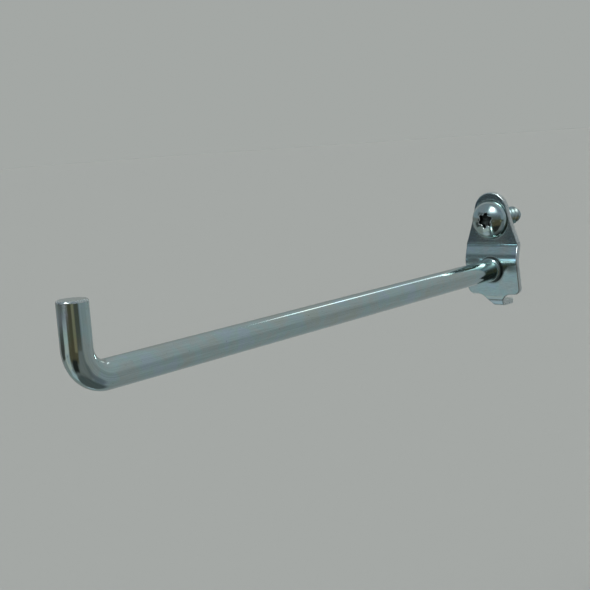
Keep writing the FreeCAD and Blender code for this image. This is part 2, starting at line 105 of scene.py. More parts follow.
# Screw
SCREW_HOLE_RADIUS = 3
HEAD_RADIUS = 5.6
HEAD_HEIGHT = 3.7
HEAD_SHOULDER = 2.4
HEAD_RIM = 0.4
SCREW_NECK = 2.3
THREAD_RADIUS = 2.75
THREAD_ROOT = 1.95
THREAD_PITCH = 2.1
SCREW_LENGTH = 19
POINT_LENGTH = 5
POINT_RADIUS = 0.3
RECESS_CORE = 1.65
RECESS_LOBE = 0.6
RECESS_REACH = 2.3
RECESS_DEPTH = 2.3
RECESS_TURN = math.radians(21)
RECESS_ROUND = 0.16
FLOOR_SPREAD = 0.94
FLOOR_DISH = 0.45
HEAD_FOOT = ((0, -0.12), (-0.035, -0.035), (-0.12, 0))
NECK_FILLET = ((0.3, 0), (0.1, 0.05), (0, 0.2))

# Steps of the meshes
ARC_STEP = 0.12
FLARE_STEP = 0.4
SIDE_STEP = 0.25
STRAIGHT_STEP = 0.3
FACE_STEP = 0.45
FACE_MARGIN = 0.75
EDGE_SUPPORT = 0.07
ROD_SIDES = 96
SCREW_SIDES = 240
THREAD_ROWS = 260
FILL_INSIDE = 2  # delaunay_2d_cdt's mode that keeps what lies inside, without the holes

# Painted dark patches on the front of the plate, which stand in for darker reflections: the bend
# that each lies by, how far below the bend, its place across, its breadth, its length and its
# depth
DARK_REFLECTION_PATCHES = (
    ("crest", -0.9, -6.0, 2.6, 1.1, 0.6),
    ("crest", 1.5, 7.3, 2.1, 1.4, 0.5),
    ("fold", 0.0, -2.5, 6.5, 0.5, 0.6),
)


# Meshes

def turn_outward(mesh):
    """Turns every face of a closed mesh outward, which its smooth shading needs."""
    shell = bmesh.new()
    shell.from_mesh(mesh)
    bmesh.ops.recalc_face_normals(shell, faces=shell.faces)
    shell.to_mesh(mesh)
    shell.free()


def make_piece(name, points, faces, node, material, coordinates, painted_shade, wear):
    """A smooth mesh piece that rides on the fixed body and stands for a CAD node.

    Its points carry their place on the unrolled metal, how much painted shade they get and how
    worn they are.
    """
    mesh = bpy.data.meshes.new(name)
    mesh.from_pydata([tuple(p) for p in np.asarray(points) * MM], [], faces)
    mesh.validate()
    turn_outward(mesh)
    mesh.polygons.foreach_set("use_smooth", [True] * len(mesh.polygons))
    unrolled = mesh.attributes.new("unrolled", "FLOAT_VECTOR", "POINT")
    unrolled.data.foreach_set("vector", np.asarray(coordinates, np.float32).ravel())
    for label, values in (("painted_shade", painted_shade), ("wear", wear)):
        marks = mesh.attributes.new(label, "FLOAT", "POINT")
        marks.data.foreach_set("value", np.asarray(values, np.float32))
    mesh.materials.append(material)
    piece = bpy.data.objects.new(name, mesh)
    bpy.context.scene.collection.objects.link(piece)
    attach(piece, "root")
    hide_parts(node)
    return piece


def rounded_route(corners, radii, turn_step=math.radians(2)):
    """Samples of straight runs joined by tangent arcs: distance, place and heading."""
    corners = [np.array(corner, float) for corner in corners]
    places = [corners[0]]
    first_run = corners[1] - corners[0]
    headings = [math.atan2(first_run[1], first_run[0])]
    for before, corner, after, radius in zip(corners, corners[1:], corners[2:], radii):
        inward = (corner - before) / np.linalg.norm(corner - before)
        outward = (after - corner) / np.linalg.norm(after - corner)
        entry = math.atan2(inward[1], inward[0])
        turn = (math.atan2(outward[1], outward[0]) - entry + math.pi) % FULL_TURN - math.pi
        side = np.array([-inward[1], inward[0]]) * math.copysign(1, turn)
        start = corner - inward * radius * math.tan(abs(turn) / 2)
        hub = start + side * radius
        for share in np.linspace(0, 1, max(2, round(abs(turn) / turn_step)) + 1):
            angle = turn * share
            arm = np.array([
                -side[0] * math.cos(angle) + side[1] * math.sin(angle),
                -side[0] * math.sin(angle) - side[1] * math.cos(angle),
            ])
            places.append(hub + arm * radius)
            headings.append(entry + angle)
    places.append(corners[-1])
    headings.append(headings[-1])
    places = np.array(places)
    runs = np.linalg.norm(np.diff(places, axis=0), axis=1)
    return np.concatenate([[0], np.cumsum(runs)]), places, np.array(headings)


def arc_points(centre, radius, first, last, spacing=ARC_STEP):
    """Points along an arc, both ends included."""
    count = max(3, math.ceil(radius * abs(last - first) / spacing))
    angles = np.linspace(first, last, count + 1)
    across = centre[0] + radius * np.cos(angles)
    return np.stack([across, centre[1] + radius * np.sin(angles)], 1)


def straight_points(first, last, spacing=STRAIGHT_STEP):
    """Points along a straight line, both ends left out."""
    first, last = np.array(first, float), np.array(last, float)
    count = max(2, math.ceil(np.linalg.norm(last - first) / spacing))
    return first + (last - first) * np.linspace(0, 1, count + 1)[1:-1, None]


def ring_faces(first, second, count):
    """Quads between two closed rings that start at these vertex numbers."""
    return [
        (first + i, first + (i + 1) % count, second + (i + 1) % count, second + i)
        for i in range(count)
    ]


def opening_faces(tip, ring, count):
    """Triangles from a point to the closed ring that follows it."""
    return [(tip, ring + (i + 1) % count, ring + i) for i in range(count)]


def closing_faces(ring, tip, count):
    """Triangles from a closed ring to the point that follows it."""
    return [(ring + i, ring + (i + 1) % count, tip) for i in range(count)]


# Plate

def fold_line():
    """The sheet's middle line from its top to the end of the tongue, as (Y, Z)."""
    half = SHEET / 2
    fold = -FOLD_DROP - FOLD_RADIUS * math.tan(STEP_ANGLE / 2)
    foot_y = -half * math.cos(LOWER_ANGLE)
    foot_z = -BOTTOM_DROP - half * math.sin(LOWER_ANGLE)
    rise = fold - foot_z + (foot_y + half) / math.tan(LOWER_ANGLE)
    slopes = math.tan(LOWER_ANGLE) + math.tan(STEP_ANGLE)
    crest_z = fold - rise * math.tan(LOWER_ANGLE) / slopes
    crest_y = -half - (fold - crest_z) * math.tan(STEP_ANGLE)
    turn = (TONGUE_ANGLE - LOWER_ANGLE) / 2
    root_z = -BOTTOM_DROP - ROOT_GAP
    root_z -= TONGUE_ROOT_RADIUS * math.tan(turn) * math.cos(LOWER_ANGLE)
    root_y = foot_y + (foot_z - root_z) * math.tan(LOWER_ANGLE)
    level_y = root_y + (root_z - TONGUE_LEVEL) * math.tan(TONGUE_ANGLE)
    corners = (
        (-half, PLATE_TOP),
        (-half, fold),
        (crest_y, crest_z),
        (root_y, root_z),
        (level_y, TONGUE_LEVEL),
        (TONGUE_REACH, TONGUE_LEVEL),
    )
    radii = (FOLD_RADIUS, CREST_RADIUS, TONGUE_ROOT_RADIUS, TONGUE_BEND_RADIUS)
    return rounded_route(corners, radii)


def on_sheet(across, along, height, route):
    """Places on the folded sheet. Height is from its middle, towards the front."""
    distance, places, headings = route
    y = np.interp(along, distance, places[:, 0])
    z = np.interp(along, distance, places[:, 1])
    heading = np.interp(along, distance, headings)
    return np.stack([
        across,
        y + height * np.sin(heading),
        z - height * np.cos(heading),
    ], 1)


def plate_half_outline(route):
    """Right half of the blank's outline, flat: (across, along), from top to tongue."""
    distance, places, _ = route
    reach = TOP_RADIUS + FLARE_RADIUS
    drop = -FOLD_DROP - TOP_CENTRE
    chord = math.hypot(PLATE_HALF, drop)
    between = math.acos((reach ** 2 + chord ** 2 - FLARE_RADIUS ** 2) / (2 * reach * chord))
    lean = math.atan2(drop, PLATE_HALF) + between
    hub = (reach * math.cos(lean), TOP_CENTRE + reach * math.sin(lean))
    last = math.atan2(-FOLD_DROP - hub[1], PLATE_HALF - hub[0]) % FULL_TURN
    corner = (PLATE_HALF - CORNER_RADIUS, -BOTTOM_DROP + CORNER_RADIUS)
    hollow = (TONGUE_HALF + TONGUE_HOLLOW, -BOTTOM_DROP - TONGUE_HOLLOW)
    level = math.pi - math.asin((TONGUE_LEVEL - hollow[1]) / TONGUE_HOLLOW)
    front_view = np.concatenate([
        arc_points((0, TOP_CENTRE), TOP_RADIUS, RIGHT_ANGLE, lean),
        arc_points(hub, FLARE_RADIUS, math.pi + lean, last, FLARE_STEP)[1:],
        straight_points((PLATE_HALF, -FOLD_DROP), (PLATE_HALF, corner[1]), SIDE_STEP),
        arc_points(corner, CORNER_RADIUS, 0, -RIGHT_ANGLE),
        straight_points((corner[0], -BOTTOM_DROP), (hollow[0], -BOTTOM_DROP)),
        arc_points(hollow, TONGUE_HOLLOW, RIGHT_ANGLE, level)[:-1],
    ])
    level_start = distance[np.argmax(places[:, 1] <= TONGUE_LEVEL + 1e-9)]
    falling = places[:, 1] > TONGUE_LEVEL + 1e-9
    known_z = np.append(places[falling, 1], TONGUE_LEVEL)
    known_along = np.append(distance[falling], level_start)
    along = np.interp(-front_view[:, 1], -known_z, known_along)
    narrow = hollow[0] + TONGUE_HOLLOW * math.cos(level)
    end = distance[-1]
    tip = (narrow - TONGUE_TIP_RADIUS, end - TONGUE_TIP_RADIUS)
    return np.concatenate([
        np.stack([front_view[:, 0], along], 1),
        [(narrow, level_start)],
        straight_points((narrow, level_start), (narrow, tip[1])),
        arc_points(tip, TONGUE_TIP_RADIUS, 0, RIGHT_ANGLE),
        straight_points((tip[0], end), (0, end)),
        [(0, end)],
    ])


def outward(ring):
    """Unit vectors that point out of a closed ring of points, given in order."""
    run = np.roll(ring, -1, axis=0) - np.roll(ring, 1, axis=0)
    area = np.sum(ring[:, 0] * np.roll(ring[:, 1], -1) - np.roll(ring[:, 0], -1) * ring[:, 1])
    normal = np.stack([run[:, 1], -run[:, 0]], 1) * math.copysign(1, area)
    return normal / np.linalg.norm(normal, axis=1)[:, None]


def edge_stations(front, back):
    """(inset, height) pairs round the sheet's edge, from its front face to its back."""
    half = SHEET / 2
    stations = [(front + EDGE_SUPPORT, half)]
    bends = np.linspace(0, RIGHT_ANGLE, 6)
    stations += [(front * (1 - math.sin(a)), half - front * (1 - math.cos(a))) for a in bends]
    stations += [(back * (1 - math.cos(a)), -half + back * (1 - math.sin(a))) for a in bends]
    stations.append((back + EDGE_SUPPORT, -half))
    return stations


def sheet_rows(route):
    """Distances along the sheet at which its faces get a row of points."""
    distance = route[0]
    rows = [0.0]
    for first, last in zip(distance, distance[1:]):
        count = max(1, math.ceil((last - first) / FACE_STEP))
        rows.extend(np.linspace(first, last, count + 1)[1:])
    return rows


def face_points(half_outline, holes, route):
    """Points spread over the flat blank, clear of its outline and its holes."""
    spread = []
    for row in sheet_rows(route):
        if row < FACE_MARGIN or row > half_outline[-1, 1] - FACE_MARGIN:
            continue
        crossing = np.argmax(half_outline[:, 1] - row > 0)
        before, after = half_outline[crossing - 1], half_outline[crossing]
        share = (row - before[1]) / max(after[1] - before[1], 1e-9)
        half = before[0] + (after[0] - before[0]) * share - FACE_MARGIN
        if half <= 0:
            continue
        count = max(2, round(2 * half / FACE_STEP))
        spread.extend((across, row) for across in np.linspace(-half, half, count + 1))
    spread = np.array(spread)
    for centre, radius in holes:
        clear = np.hypot(spread[:, 0], spread[:, 1] - centre) > radius + FACE_MARGIN
        spread = spread[clear]
    return spread


def plate_rims(rings):
    """Rounded edges of the flat sheet: points, faces, and each rim's front and back loop."""
    flat, faces, loops = [], [], []
    for ring, front, back, side in rings:
        normal = outward(ring) * side
        starts = []
        for inset, height in edge_stations(front, back):
            starts.append(len(flat))
            flat.extend((across, along, height) for across, along in ring - normal * inset)
        for first, second in zip(starts, starts[1:]):
            faces.extend(ring_faces(first, second, len(ring)))
        loops.append((starts[0], starts[-1], len(ring)))
    return flat, faces, loops


def fill_sheet(flat, faces, loops, spread):
    """Closes the front and the back between the rims, in the lists of points and faces."""
    for side, height in ((0, SHEET / 2), (1, -SHEET / 2)):
        known = [loop[side] + i for loop in loops for i in range(loop[2])]
        edges = []
        for *_, count in loops:
            offset = len(edges)
            edges += [(offset + i, offset + (i + 1) % count) for i in range(count)]
        coordinates = [flat[i][:2] for i in known] + [tuple(point) for point in spread]
        made, _, triangles, origins, _, _ = delaunay_2d_cdt(
            coordinates, edges, [], FILL_INSIDE, 1e-6,
        )
        numbers = []
        for place, origin in zip(made, origins):
            if origin and origin[0] < len(known):
                numbers.append(known[origin[0]])
            else:
                numbers.append(len(flat))
                flat.append((place[0], place[1], height))
        faces.extend(tuple(numbers[i] for i in triangle) for triangle in triangles)


def plate_painted_shade(flat, holes, route):
    """Painted shade round the screw's head and the bead, and painted dark patches for darker
    reflections, on the front of the plate.
    """
    distance, places, _ = route
    painted_shade = np.zeros(len(flat))
    for (centre, _), foot in zip(holes, (HEAD_RADIUS, BEAD_RADIUS)):
        gap = np.hypot(flat[:, 0], flat[:, 1] - centre) - foot
        painted_shade = np.maximum(painted_shade, np.exp(-np.maximum(gap, 0) / PAINTED_SHADE_REACH))
    bends = {"fold": distance[2], "crest": distance[np.argmin(places[:, 0])]}
    for bend, below, across, breadth, length, depth in DARK_REFLECTION_PATCHES:
        along = bends[bend] + below
        spread = ((flat[:, 0] - across) / breadth) ** 4 + ((flat[:, 1] - along) / length) ** 2
        painted_shade = np.maximum(painted_shade, depth * np.exp(-spread))
    return painted_shade * np.clip(flat[:, 2] / SHEET + 0.5, 0, 1)


def make_plate(material):
    """Stamped and folded sheet with rounded edges, its tongue and its two holes."""
    route = fold_line()
    distance, places, _ = route
    half_outline = plate_half_outline(route)
    outline = np.concatenate([half_outline, (half_outline * (-1, 1))[-2:0:-1]])
    holes = [
        (np.interp(-drop, -places[:, 1], distance), radius)
        for drop, radius in ((0, SCREW_HOLE_RADIUS), (-ARM_DROP, NECK_RADIUS))
    ]
    rings = [(outline, FRONT_ROUND, BACK_ROUND, 1)]
    for centre, radius in holes:
        circle = arc_points((0, centre), radius, 0, FULL_TURN)[:-1]
        rings.append((circle, HOLE_ROUND, HOLE_ROUND, -1))
    flat, faces, loops = plate_rims(rings)
    fill_sheet(flat, faces, loops, face_points(half_outline, holes, route))
    flat = np.array(flat)
    points = on_sheet(flat[:, 0], flat[:, 1], flat[:, 2], route)
    wear = (np.abs(flat[:, 2]) < SHEET / 2 - 1e-6).astype(float)
    return make_piece(
        "plate", points, faces, "mounting_plate", material,
        flat, plate_painted_shade(flat, holes, route), wear,
    )


# Arm

def arm_profile():
    """(distance, radius, seat) along the rod, where seat is 1 on the plate's slant."""
    back = SHEET / 2 / math.cos(LOWER_ANGLE)
    middle = back + (BOTTOM_DROP - ARM_DROP) * math.tan(LOWER_ANGLE)
    behind, before = middle - back, middle + back
    soft = RIVET_ROUND
    profile = [(RIVET_CLEARANCE, 0, 0)]
    crowned = RIVET_RADIUS - soft
    for share in np.linspace(0.1, 1, 10):
        profile.append((RIVET_CLEARANCE + RIVET_CROWN * share ** 2, crowned * share, 0))
    rim = RIVET_CLEARANCE + RIVET_CROWN
    for angle in np.linspace(0, RIGHT_ANGLE, 7)[1:]:
        profile.append((
            rim + soft * (1 - math.cos(angle)) * RIVET_SQUASH,
            crowned + soft * math.sin(angle),
            0,
        ))
    profile += [
        (behind - RIVET_FOOT, RIVET_RADIUS, 1),
        (behind, RIVET_RADIUS - RIVET_FOOT, 1),
        (behind, NECK_RADIUS, 1),
        (before, NECK_RADIUS, 1),
        (before, BEAD_RADIUS - BEAD_EDGE, 1),
    ]
    fall = BEAD_RADIUS - ARM_RADIUS
    for angle in np.linspace(0, RIGHT_ANGLE, 5):
        rise = math.sin(angle)
        profile.append((before + BEAD_EDGE * rise, BEAD_RADIUS - BEAD_EDGE * (1 - rise), 1))
    shoulder = BEAD_REACH - fall
    profile.append((shoulder - 0.02, BEAD_RADIUS, 0))
    for angle in np.linspace(0, RIGHT_ANGLE, 10):
        profile.append((shoulder + fall * math.sin(angle), ARM_RADIUS + fall * math.cos(angle), 0))
    profile.append((BEAD_REACH + 0.05, ARM_RADIUS, 0))
    return profile


def rod_profile(distance):
    """The same for the rod in front of its bead. Its route has these distances."""
    bend_end, total = distance[-2], distance[-1]
    plain = [
        *np.linspace(BEAD_REACH + 0.5, distance[1], 60),
        *distance[2:-2],
        *np.linspace(bend_end, total - TIP_ROUND - 0.05, 8),
    ]
    profile = [(along, ARM_RADIUS, 0) for along in plain]
    for angle in np.linspace(0, RIGHT_ANGLE, 8):
        profile.append((
            total - TIP_ROUND * (1 - math.sin(angle)),
            ARM_RADIUS - TIP_ROUND * (1 - math.cos(angle)),
            0,
        ))
    flat_end = ARM_RADIUS - TIP_ROUND - 0.05
    return profile + [(total, flat_end, 0), (total, ARM_RADIUS / 2, 0), (total, 0, 0)]


def make_arm(material):
    """The rod: riveted head, neck, bead, straight run, bend and upturned end."""
    corners = ((0, -ARM_DROP), (-ARM_REACH, -ARM_DROP), (-ARM_REACH, LEG_RISE - ARM_DROP))
    distance, places, headings = rounded_route(corners, (BEND_RADIUS,))
    total = distance[-1]
    angles = np.linspace(0, FULL_TURN, ROD_SIDES, endpoint=False)
    points, unrolled, faces, painted_shade, wear = [], [], [], [], []
    for along, radius, seat in arm_profile() + rod_profile(distance):
        y = np.interp(along, distance, places[:, 0])
        z = np.interp(along, distance, places[:, 1])
        heading = np.interp(along, distance, headings)
        up = radius * np.cos(angles) if radius else np.zeros(1)
        right = radius * np.sin(angles) if radius else np.zeros(1)
        lean = up * math.tan(LOWER_ANGLE) * seat
        start = len(points)
        points.extend(np.stack([
            right,
            y + up * math.sin(heading) - lean,
            z - up * math.cos(heading),
        ], 1))
        unrolled.extend(np.stack([right, up, np.full(len(up), along)], 1))
        count = len(up)
        # Painted shade where the rod sits in the plate, and on the bead's rim against it
        painted_shade.extend([max(seat, BEAD_PAINTED_SHADE * (radius > BEAD_RADIUS - 0.2))] * count)
        wear.extend([float(total - TIP_ROUND <= along < total)] * count)
        if start and count > 1 and last_count > 1:
            faces.extend(ring_faces(last_start, start, ROD_SIDES))
        elif start and count > 1:
            faces.extend(opening_faces(last_start, start, ROD_SIDES))
        elif start:
            faces.extend(closing_faces(last_start, start, ROD_SIDES))
        last_start, last_count = start, count
    return make_piece(
        "arm", points, faces, "hook_arm", material, unrolled, painted_shade, wear,
    )


# Screw

def recess_radius(angle):
    """Distance from the screw's axis to the wall of its six-lobed recess."""
    turn = (angle - RECESS_TURN + math.pi / 6) % (math.pi / 3) - math.pi / 6
    throw = RECESS_REACH - RECESS_LOBE
    reach = RECESS_LOBE ** 2 - (throw * np.sin(turn)) ** 2
    lobe = throw * np.cos(turn) + np.sqrt(np.maximum(reach, 0))
    blend = 14
    return (np.maximum(lobe, 0) ** blend + RECESS_CORE ** blend) ** (1 / blend)


def dome_shape():
    """Radius of the head's dome, and the angle at which its rounding starts."""
    deep = HEAD_HEIGHT - HEAD_RIM
    flat = HEAD_RADIUS - HEAD_SHOULDER
    dome = (deep ** 2 + flat ** 2 - HEAD_SHOULDER ** 2) / (2 * (deep - HEAD_SHOULDER))
    return dome, math.asin(flat / (dome - HEAD_SHOULDER))


def make_screw(material):
    """Pan head with a rounded six-lobed recess, plain neck, helical thread and point."""
    around = SCREW_SIDES
    angles = np.linspace(0, FULL_TURN, around, endpoint=False)
    wall = recess_radius(angles)
    dome, split = dome_shape()
    crown = -SHEET - HEAD_HEIGHT

    def dome_y(radius):
        return crown + dome - np.sqrt(dome ** 2 - radius ** 2)

    floor = crown + RECESS_DEPTH
    rings = []
    for share in (0.25, 0.5, 0.75, 0.92, 1):
        rings.append((wall * share * FLOOR_SPREAD, np.full(around, floor - FLOOR_DISH * share)))
    rings.append((wall * 0.97, np.full(around, floor - 0.6)))
    lip = dome_y(wall + RECESS_ROUND)
    for depth in (0.9, 0.5, 0.3):
        rings.append((wall, lip + RECESS_ROUND + depth))
    hollow = len(rings)
    for angle in np.linspace(0, RIGHT_ANGLE, 6):
        rings.append((
            wall + RECESS_ROUND * (1 - math.cos(angle)),
            lip + RECESS_ROUND * (1 - math.sin(angle)),
        ))
    lipped = len(rings)
    dome_edge = dome * math.sin(split)
    for share in np.linspace(0, 1, 22)[1:]:
        radius = (wall + RECESS_ROUND) * (1 - share) + dome_edge * share
        rings.append((radius, dome_y(radius)))
    soft_y = -SHEET - HEAD_RIM
    soft_radius = HEAD_RADIUS - HEAD_SHOULDER
    for angle in np.linspace(split, RIGHT_ANGLE, 14)[1:]:
        rings.append((
            np.full(around, soft_radius + HEAD_SHOULDER * math.sin(angle)),
            np.full(around, soft_y - HEAD_SHOULDER * math.cos(angle)),
        ))
    for radius, corner in ((HEAD_RADIUS, HEAD_FOOT), (SCREW_NECK, NECK_FILLET)):
        for outer, deeper in corner:
            rings.append((np.full(around, radius + outer), np.full(around, deeper - SHEET)))
    rings += thread_rings(angles)

    points = [(0, floor, 0)]
    painted_shade = [1.0]
    wear = [0.0]
    faces = opening_faces(0, 1, around)
    for number, (radius, y) in enumerate(rings):
        start = len(points)
        points.extend(np.stack([radius * np.cos(angles), y, radius * np.sin(angles)], 1))
        # Painted shade on every ring inside the recess, and on its floor's centre
        painted_shade.extend([float(number < hollow)] * around)
        wear.extend([float(hollow < number < lipped)] * around)
        if number:
            faces.extend(ring_faces(start - around, start, around))
    tip = len(points)
    points.append((0, SCREW_LENGTH - SHEET, 0))
    painted_shade.append(0.0)
    wear.append(0.0)
    faces.extend(closing_faces(tip - around, tip, around))
    return make_piece(
        "screw_piece", points, faces, "screw", material, points, painted_shade, wear,
    )


def thread_rings(angles):
    """Rings of the helical thread, which fades in at the board and out at the point."""
    end = SCREW_LENGTH - SHEET
    taper = end - POINT_LENGTH
    rings = []
    for y in np.linspace(0, end - 0.02, THREAD_ROWS):
        phase = (y / THREAD_PITCH - angles / FULL_TURN) % 1
        flank = np.clip(1 - np.abs(phase - 0.5) / 0.24, 0, 1)
        fade = min(1, y / 1.5)
        share = max(0, (y - taper) / POINT_LENGTH)
        outer = THREAD_RADIUS + (POINT_RADIUS - THREAD_RADIUS) * share
        root = THREAD_ROOT + (POINT_RADIUS * 0.7 - THREAD_ROOT) * share
        neck = SCREW_NECK * (1 - fade) + root * fade
        radius = neck + (outer - neck) * flank * fade
        rings.append((radius, np.full(len(angles), y)))
    return rings


# Materials

def add_node(tree, kind, inputs=None, **settings):
    """Adds a node. An input is a value, or the socket that feeds it."""
    made = tree.nodes.new(kind)
    for name, value in settings.items():
        setattr(made, name, value)
    for name, value in (inputs or {}).items():
        if isinstance(value, bpy.types.NodeSocket):
            tree.links.new(value, made.inputs[name])
        else:
            made.inputs[name].default_value = value
    return made


def remap(tree, value, start, end, first, last, **settings):
    """Maps a value from one range to another, with soft ends where asked."""
    return add_node(tree, "ShaderNodeMapRange", {
        "Value": value, "From Min": start, "From Max": end, "To Min": first, "To Max": last,
    }, **settings).outputs[0]


def maths(tree, operation, first, second=0.0):
    """The result of a maths node for two numbers or sockets."""
    return add_node(tree, "ShaderNodeMath", {0: first, 1: second}, operation=operation).outputs[0]


def ramp(tree, value, stops):
    """Colours along a value, given as (position, colour) stops."""
    made = add_node(tree, "ShaderNodeValToRGB", {"Fac": value})
    elements = made.color_ramp.elements
    while len(elements) < len(stops):
        elements.new(0.5)
    for element, (position, colour) in zip(elements, stops):
        element.position = position
        element.color = (*colour, 1)
    return made.outputs["Color"]


def mix(tree, factor, first, second, blend="MIX"):
    """Two colours mixed or multiplied."""
    return add_node(tree, "ShaderNodeMix", {
        "Factor": factor, 6: first, 7: second,
    }, data_type="RGBA", blend_type=blend).outputs[2]


def noise(tree, place, scale, detail, stretch=(1, 1, 1)):
    """Soft noise over the unrolled metal, drawn out where asked."""
    at = add_node(tree, "ShaderNodeMapping", {"Vector": place, "Scale": stretch}).outputs[0]
    return add_node(tree, "ShaderNodeTexNoise", {
        "Vector": at, "Scale": scale, "Detail": detail, "Roughness": 0.6,
    }).outputs["Fac"]


def attribute(tree, name, output):
    """A mark that the mesh carries."""
    return add_node(tree, "ShaderNodeAttribute", attribute_name=name).outputs[output]


# Scale and detail of the noises in the plating
CLOUDS = (0.17, 3.5)
LINES = (1.0, 4.0)
GRAIN = (4.0, 3.0)
SPOTS = (1.7, 2.0)

# What noises and marks are turned into: their own range, then that of the result
STREAK_TONE = (0.3, 0.7, 0.87, 1.08)
FLECK_SHARE = (0.7, 0.76, 0.0, 0.5)
WORN_SHARE = (0.35, 0.6, 0.2, 0.8)
PAINTED_SHADE_SHARE = (0.05, 0.9, 0.0, 0.97)

FLECK = (0.20, 0.21, 0.20, 1)
WORN = (0.66, 0.70, 0.70, 1)
# Painted shade: the dark colour mixed in for contact rings, the recess and dark patches
PAINTED_SHADE_TONE = (0.03, 0.034, 0.032, 1)
LINE_ROUGHNESS = 0.3
PAINTED_SHADE_ROUGHNESS = 0.4
EDGE_ROUGHNESS = 0.25
BUMP = {"Strength": 0.1, "Distance": 0.00002}


def zinc(name, stretch, roughness, tones):
    """Bright zinc plating: cloudy blue and straw tints, drawn lines, painted shade and worn edges.
    """
    material = bpy.data.materials.new(name)
    material.use_nodes = True
    tree = material.node_tree
    tree.nodes.clear()
    place = attribute(tree, "unrolled", "Vector")
    clouds = noise(tree, place, *CLOUDS)
    lines = noise(tree, place, *LINES, stretch)
    grain = noise(tree, place, *GRAIN)
    spots = noise(tree, place, *SPOTS)

    plating = ramp(tree, clouds, tones)
    streaks = remap(tree, lines, *STREAK_TONE)
    plating = mix(tree, 1.0, plating, streaks, "MULTIPLY")
    flecks = remap(tree, spots, *FLECK_SHARE)
    plating = mix(tree, flecks, plating, FLECK)
    edges = attribute(tree, "wear", "Fac")
    worn = maths(tree, "MULTIPLY", edges, remap(tree, grain, *WORN_SHARE))
    plating = mix(tree, worn, plating, WORN)
    # Painted shade: darkens and roughens the plating where the mesh marks it
    shaded = remap(tree, attribute(tree, "painted_shade", "Fac"), *PAINTED_SHADE_SHARE)
    colour = mix(tree, shaded, plating, PAINTED_SHADE_TONE)

    rough = remap(tree, clouds, 0.3, 0.7, roughness * 1.15, roughness * 0.85)
    rough = maths(tree, "ADD", rough, maths(tree, "MULTIPLY", lines, roughness * LINE_ROUGHNESS))
    rough = maths(tree, "ADD", rough, maths(tree, "MULTIPLY", shaded, PAINTED_SHADE_ROUGHNESS))
    rough = maths(tree, "ADD", rough, maths(tree, "MULTIPLY", worn, EDGE_ROUGHNESS))
    height = maths(tree, "ADD", lines, grain)
    bump = add_node(tree, "ShaderNodeBump", {"Height": height, **BUMP}).outputs["Normal"]
    shader = add_node(tree, "ShaderNodeBsdfPrincipled", {
        "Base Color": colour, "Metallic": 1.0, "Roughness": rough, "Normal": bump,
    })
    output = add_node(tree, "ShaderNodeOutputMaterial")
    tree.links.new(shader.outputs[0], output.inputs["Surface"])
    return material


# Studio

FLOOR_HALF = 30.0
FLOOR_HEIGHT = -0.16
FLOOR_PAINT = (0.402, 0.412, 0.390, 1)
SUN_ENERGY = 1.0
SUN_WIDTH = math.radians(50)
SUN_TURN = (math.radians(25), math.radians(-10), 0)

# The photograph's view, found from the grid of holes behind the hook
CAMERA_PLACE = (0.16438, -0.29544, 0.02718)
CAMERA_AZIMUTH = math.radians(39.54)
CAMERA_ELEVATION = math.radians(7.873)
CAMERA_ROLL = math.radians(-4.111)
CAMERA_LENS = 67.315
CAMERA_SENSOR = 36

# What the camera sees behind the hook, and what the metal mirrors between the zones
PALE = (0.370, 0.3905, 0.376)
GROUND_BELOW = (0.30, 0.31, 0.31, 1)
GROUND_ABOVE = (0.45, 0.46, 0.47, 1)

